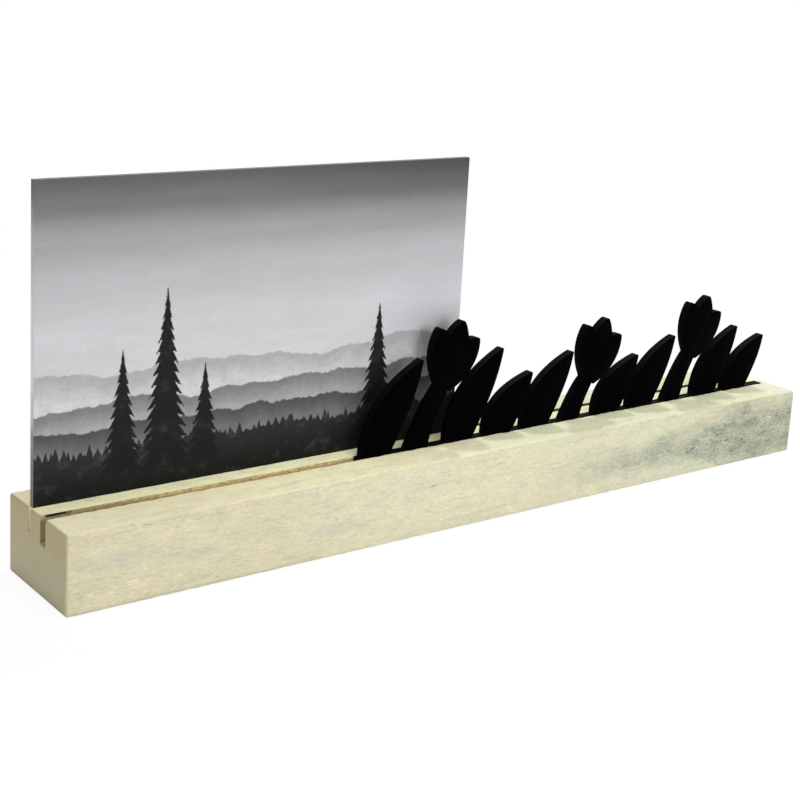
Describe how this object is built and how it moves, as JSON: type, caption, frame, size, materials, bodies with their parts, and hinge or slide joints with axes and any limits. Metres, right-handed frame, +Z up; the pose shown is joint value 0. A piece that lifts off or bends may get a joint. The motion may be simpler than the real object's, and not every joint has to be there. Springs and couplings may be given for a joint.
{
  "type": "photo display block",
  "caption": "Long pine block with two grooves along its top: a photo print on a stiff backing stands in the rear one and a black leafy cut-out in the front one.",
  "frame": {"origin": "middle of the block's underside", "axes": "+X along the block to the right as seen from the front, +Y to the back, +Z up"},
  "size_m": [0.3, 0.038, 0.1165],
  "materials": {
    "pine": "raw planed pine",
    "backing": "frosted",
    "print": "satin photo paper",
    "black_board": "fibreboard painted matt black"
  },
  "bodies": {
    "base": {"wooden_base": "pine"},
    "backing": {"photo_backing": "backing"},
    "print": {"photo_print": "print"},
    "ornament": {"ornament_cutout": "black_board"}
  },
  "joints": [
    {"name": "photo_shift", "type": "slide", "parent": "base", "child": "backing", "axis": [1, 0, 0], "range_m": [-0.0008, 0.1492]},
    {"name": "photo_lift", "type": "slide", "parent": "backing", "child": "print", "axis": [0, 0, 1], "range_m": [0, 0.012]},
    {"name": "ornament_lift", "type": "slide", "parent": "base", "child": "ornament", "axis": [0, 0, 1], "range_m": [0, 0.012]}
  ]
}
